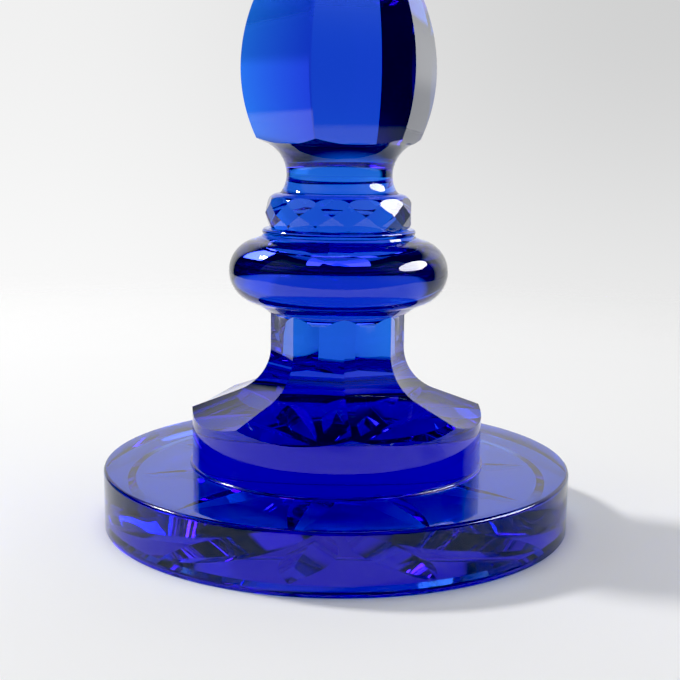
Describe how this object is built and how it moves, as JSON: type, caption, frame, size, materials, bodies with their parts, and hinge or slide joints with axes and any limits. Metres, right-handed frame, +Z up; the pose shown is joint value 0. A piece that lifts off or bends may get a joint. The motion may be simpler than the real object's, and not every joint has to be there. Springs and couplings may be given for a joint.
{
  "type": "candlestick",
  "caption": "Solid cut-glass candlestick: round star-cut foot, fluted hub, cushion knop, faceted ring, hexagonal baluster stem and a candle cup with a flared lip.",
  "frame": {"origin": "centre of the foot's underside, on the surface that the candlestick stands on", "axes": "+Z up along the axis of the candlestick, front towards -Y"},
  "size_m": [0.12, 0.12, 0.2361],
  "materials": {
    "glass": "polished"
  },
  "bodies": {
    "root": {"foot": "glass", "hub": "glass", "knop": "glass", "merese": "glass", "cut_ring": "glass", "stem": "glass", "upper_ring": "glass", "upper_merese": "glass", "candle_cup": "glass"}
  },
  "joints": []
}
